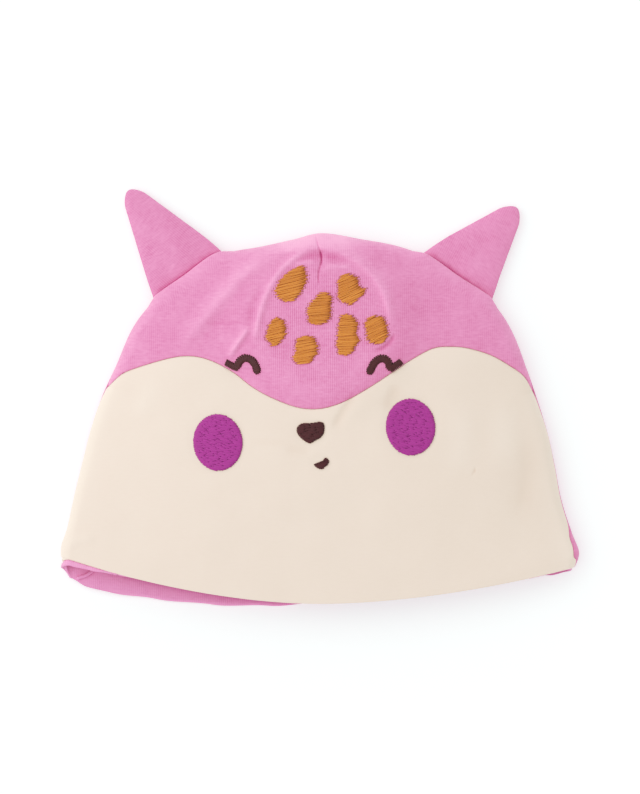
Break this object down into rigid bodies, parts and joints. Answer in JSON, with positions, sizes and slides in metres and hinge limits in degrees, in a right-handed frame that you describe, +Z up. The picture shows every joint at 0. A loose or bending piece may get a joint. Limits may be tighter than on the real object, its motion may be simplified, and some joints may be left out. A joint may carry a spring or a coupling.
{
  "type": "baby hat with ears",
  "caption": "Soft double-layer baby hat with two pointed ears and an embroidered fawn face, lying flat on its back with its head opening in front.",
  "frame": {"origin": "middle of the hat's own box, on the surface that it lies on", "axes": "+X to the wearer's left across the hem, +Y from the head opening to the crown and ears, +Z up out of the embroidered face"},
  "size_m": [0.197, 0.1592, 0.022],
  "materials": {
    "pink_jersey": "matt cotton interlock jersey",
    "cream_jersey": "matt cotton interlock jersey",
    "pink_lining": "matt cotton jersey",
    "purple_thread": "fill-stitched embroidery thread with a low sheen",
    "brown_thread": "satin-stitched embroidery thread with a low sheen",
    "ochre_thread": "satin-stitched embroidery thread with a sheen"
  },
  "bodies": {
    "root": {"crown_front": "pink_jersey", "face_panel": "cream_jersey", "back_panel": "pink_jersey", "lining": "pink_lining", "ear_left": "pink_jersey", "ear_right": "pink_jersey", "cheek_left": "purple_thread", "cheek_right": "purple_thread", "nose": "brown_thread", "mouth": "brown_thread", "eye_left": "brown_thread", "eye_right": "brown_thread", "spot_1": "ochre_thread", "spot_2": "ochre_thread", "spot_3": "ochre_thread", "spot_4": "ochre_thread", "spot_5": "ochre_thread", "spot_6": "ochre_thread", "spot_7": "ochre_thread"}
  },
  "joints": []
}
